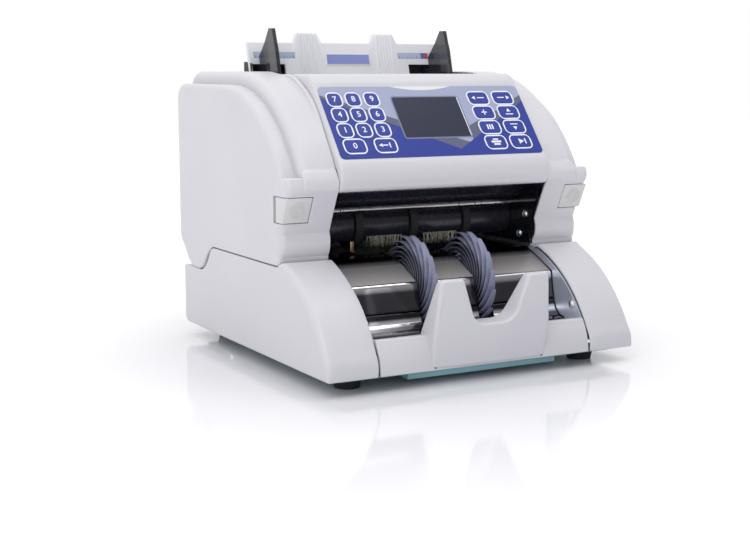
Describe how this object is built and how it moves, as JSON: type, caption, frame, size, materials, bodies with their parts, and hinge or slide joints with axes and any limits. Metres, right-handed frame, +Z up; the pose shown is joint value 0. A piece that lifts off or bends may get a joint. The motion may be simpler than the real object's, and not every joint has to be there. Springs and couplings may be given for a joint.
{
  "type": "banknote counting machine",
  "caption": "Desktop banknote counter with a top hopper, a sloping keypad with display, and a front stacker with two vane wheels.",
  "frame": {"origin": "centre of the footprint on the table, at the underside of the rubber feet", "axes": "+Z up, -Y towards the operator at the front, +X to the operator's right"},
  "size_m": [0.29, 0.315, 0.28],
  "materials": {
    "zinc_steel": "zinc plated sheet",
    "black_rubber": "matt rubber",
    "cover_plastic": "fine grained moulding, pale grey",
    "hopper_plastic": "smooth moulding, pale grey",
    "stainless_steel": "polished stainless sheet",
    "motor_steel": "satin motor can",
    "bush_bronze": "sintered bronze",
    "screw_steel": "bright plated steel",
    "black_plastic": "semi gloss black",
    "black_steel": "gloss black paint",
    "grey_acetal": "machined acetal",
    "vane_rubber": "flexible moulded vanes, grey violet",
    "keypad_film": "printed film, blue and grey",
    "key_film": "printed film, blue with a pale outline",
    "display_glass": "dark display window",
    "circuit_board": "green laminate",
    "brush_bristle": "fine conductive bristles",
    "bright_bar": "bright plated bar",
    "smoke_plastic": "smoked see-through plastic",
    "button_plastic": "fine grained moulding, pale grey"
  },
  "bodies": {
    "lower_unit": {"base_plate": "zinc_steel", "rubber_feet": "black_rubber", "lower_side_cover_left": "cover_plastic", "lower_side_cover_right": "cover_plastic", "front_cover": "cover_plastic", "rear_cover": "cover_plastic", "lower_side_frames": "stainless_steel", "stacker_upper_plate": "stainless_steel", "stacker_lower_plate": "stainless_steel", "drive_motor": "motor_steel", "drive_belt": "black_rubber", "lower_bearings": "bush_bronze", "frame_screws": "screw_steel", "hinge_pins": "screw_steel", "power_supply": "zinc_steel", "power_inlet": "black_plastic"},
    "upper_unit": {"upper_side_cover_left": "cover_plastic", "upper_side_cover_right": "cover_plastic", "console_cover": "cover_plastic", "keypad_overlay": "keypad_film", "display_window": "display_glass", "control_board": "circuit_board", "hopper_back_plate": "cover_plastic", "hopper_floor": "hopper_plastic", "upper_rear_cover": "cover_plastic", "throat_guide": "black_plastic", "antistatic_brushes": "brush_bristle", "guide_bar": "bright_bar", "upper_side_frames": "black_steel", "upper_bearings": "bush_bronze"},
    "stacker": {"stacker_shaft": "screw_steel", "stacker_wheels": "vane_rubber"},
    "motor_rotor": {"motor_pulley": "grey_acetal"},
    "ring_rollers": {"ring_wheel_shaft": "black_rubber"},
    "feed_rollers": {"feed_roller_shaft": "black_rubber"},
    "left_guide": {"guide_left": "smoke_plastic"},
    "right_guide": {"guide_right": "smoke_plastic"},
    "guide_gear": {"guide_pinion": "grey_acetal"},
    "left_latch": {"latch_button_left": "button_plastic"},
    "right_latch": {"latch_button_right": "button_plastic"},
    "power_switch": {"power_rocker": "black_plastic"},
    "button_7": {"key_7": "key_film"},
    "button_8": {"key_8": "key_film"},
    "button_9": {"key_9": "key_film"},
    "button_4": {"key_4": "key_film"},
    "button_5": {"key_5": "key_film"},
    "button_6": {"key_6": "key_film"},
    "button_1": {"key_1": "key_film"},
    "button_2": {"key_2": "key_film"},
    "button_3": {"key_3": "key_film"},
    "button_0": {"key_0": "key_film"},
    "button_clear": {"key_clear": "key_film"},
    "button_left": {"key_left": "key_film"},
    "button_right": {"key_right": "key_film"},
    "button_add": {"key_add": "key_film"},
    "button_up": {"key_up": "key_film"},
    "button_set": {"key_set": "key_film"},
    "button_down": {"key_down": "key_film"},
    "button_print": {"key_print": "key_film"},
    "button_start": {"key_start": "key_film"}
  },
  "joints": [
    {"name": "upper_unit_hinge", "type": "hinge", "parent": "lower_unit", "child": "upper_unit", "pos_m": [0, 0.1215, 0.093], "axis": [-1, 0, 0], "range_deg": [0, 40]},
    {"name": "stacker_spin", "type": "hinge", "parent": "lower_unit", "child": "stacker", "pos_m": [0, -0.0685, 0.0665], "axis": [1, 0, 0], "continuous": true},
    {"name": "left_guide_slide", "type": "slide", "parent": "upper_unit", "child": "left_guide", "axis": [1, 0, 0], "range_m": [-0.005, 0.02]},
    {"name": "right_guide_slide", "type": "slide", "parent": "upper_unit", "child": "right_guide", "axis": [1, 0, 0], "range_m": [-0.02, 0.005]},
    {"name": "guide_gear_turn", "type": "hinge", "parent": "upper_unit", "child": "guide_gear", "pos_m": [0, 0.1035, 0.2265], "axis": [0, 1, 0], "range_deg": [-46, 178]},
    {"name": "left_latch_press", "type": "slide", "parent": "upper_unit", "child": "left_latch", "axis": [0, 1, 0], "range_m": [0, 0.0035], "stiffness_N_per_m": 400, "springref_m": -0.004},
    {"name": "right_latch_press", "type": "slide", "parent": "upper_unit", "child": "right_latch", "axis": [0, 1, 0], "range_m": [0, 0.0035], "stiffness_N_per_m": 400, "springref_m": -0.004},
    {"name": "motor_spin", "type": "hinge", "parent": "lower_unit", "child": "motor_rotor", "pos_m": [0, 0.062, 0.042], "axis": [1, 0, 0], "continuous": true},
    {"name": "ring_rollers_spin", "type": "hinge", "parent": "upper_unit", "child": "ring_rollers", "pos_m": [0, -0.008, 0.113], "axis": [1, 0, 0], "continuous": true},
    {"name": "feed_rollers_spin", "type": "hinge", "parent": "upper_unit", "child": "feed_rollers", "pos_m": [0, 0.06, 0.2065], "axis": [1, 0, 0], "continuous": true},
    {"name": "power_switch_rock", "type": "hinge", "parent": "lower_unit", "child": "power_switch", "pos_m": [0, 0.1425, 0.038], "axis": [-1, 0, 0], "range_deg": [0, 12]},
    {"name": "button_7_press", "type": "slide", "parent": "upper_unit", "child": "button_7", "axis": [0, 0.7815, -0.6239], "range_m": [0, 0.0004], "stiffness_N_per_m": 200, "springref_m": -0.0004},
    {"name": "button_8_press", "type": "slide", "parent": "upper_unit", "child": "button_8", "axis": [0, 0.7815, -0.6239], "range_m": [0, 0.0004], "stiffness_N_per_m": 200, "springref_m": -0.0004},
    {"name": "button_9_press", "type": "slide", "parent": "upper_unit", "child": "button_9", "axis": [0, 0.7815, -0.6239], "range_m": [0, 0.0004], "stiffness_N_per_m": 200, "springref_m": -0.0004},
    {"name": "button_4_press", "type": "slide", "parent": "upper_unit", "child": "button_4", "axis": [0, 0.7815, -0.6239], "range_m": [0, 0.0004], "stiffness_N_per_m": 200, "springref_m": -0.0004},
    {"name": "button_5_press", "type": "slide", "parent": "upper_unit", "child": "button_5", "axis": [0, 0.7815, -0.6239], "range_m": [0, 0.0004], "stiffness_N_per_m": 200, "springref_m": -0.0004},
    {"name": "button_6_press", "type": "slide", "parent": "upper_unit", "child": "button_6", "axis": [0, 0.7815, -0.6239], "range_m": [0, 0.0004], "stiffness_N_per_m": 200, "springref_m": -0.0004},
    {"name": "button_1_press", "type": "slide", "parent": "upper_unit", "child": "button_1", "axis": [0, 0.7815, -0.6239], "range_m": [0, 0.0004], "stiffness_N_per_m": 200, "springref_m": -0.0004},
    {"name": "button_2_press", "type": "slide", "parent": "upper_unit", "child": "button_2", "axis": [0, 0.7815, -0.6239], "range_m": [0, 0.0004], "stiffness_N_per_m": 200, "springref_m": -0.0004},
    {"name": "button_3_press", "type": "slide", "parent": "upper_unit", "child": "button_3", "axis": [0, 0.7815, -0.6239], "range_m": [0, 0.0004], "stiffness_N_per_m": 200, "springref_m": -0.0004},
    {"name": "button_0_press", "type": "slide", "parent": "upper_unit", "child": "button_0", "axis": [0, 0.7815, -0.6239], "range_m": [0, 0.0004], "stiffness_N_per_m": 200, "springref_m": -0.0004},
    {"name": "button_clear_press", "type": "slide", "parent": "upper_unit", "child": "button_clear", "axis": [0, 0.7815, -0.6239], "range_m": [0, 0.0004], "stiffness_N_per_m": 200, "springref_m": -0.0004},
    {"name": "button_left_press", "type": "slide", "parent": "upper_unit", "child": "button_left", "axis": [0, 0.7815, -0.6239], "range_m": [0, 0.0004], "stiffness_N_per_m": 200, "springref_m": -0.0004},
    {"name": "button_right_press", "type": "slide", "parent": "upper_unit", "child": "button_right", "axis": [0, 0.7815, -0.6239], "range_m": [0, 0.0004], "stiffness_N_per_m": 200, "springref_m": -0.0004},
    {"name": "button_add_press", "type": "slide", "parent": "upper_unit", "child": "button_add", "axis": [0, 0.7815, -0.6239], "range_m": [0, 0.0004], "stiffness_N_per_m": 200, "springref_m": -0.0004},
    {"name": "button_up_press", "type": "slide", "parent": "upper_unit", "child": "button_up", "axis": [0, 0.7815, -0.6239], "range_m": [0, 0.0004], "stiffness_N_per_m": 200, "springref_m": -0.0004},
    {"name": "button_set_press", "type": "slide", "parent": "upper_unit", "child": "button_set", "axis": [0, 0.7815, -0.6239], "range_m": [0, 0.0004], "stiffness_N_per_m": 200, "springref_m": -0.0004},
    {"name": "button_down_press", "type": "slide", "parent": "upper_unit", "child": "button_down", "axis": [0, 0.7815, -0.6239], "range_m": [0, 0.0004], "stiffness_N_per_m": 200, "springref_m": -0.0004},
    {"name": "button_print_press", "type": "slide", "parent": "upper_unit", "child": "button_print", "axis": [0, 0.7815, -0.6239], "range_m": [0, 0.0004], "stiffness_N_per_m": 200, "springref_m": -0.0004},
    {"name": "button_start_press", "type": "slide", "parent": "upper_unit", "child": "button_start", "axis": [0, 0.7815, -0.6239], "range_m": [0, 0.0004], "stiffness_N_per_m": 200, "springref_m": -0.0004}
  ],
  "couplings": [
    {"joint": "motor_spin", "follows": "stacker_spin", "ratio": 1.6667},
    {"joint": "ring_rollers_spin", "follows": "stacker_spin", "ratio": -2},
    {"joint": "feed_rollers_spin", "follows": "stacker_spin", "ratio": -1.5},
    {"joint": "right_guide_slide", "follows": "left_guide_slide", "ratio": -1},
    {"joint": "guide_gear_turn", "follows": "left_guide_slide", "rad_per_m": 153.85}
  ]
}
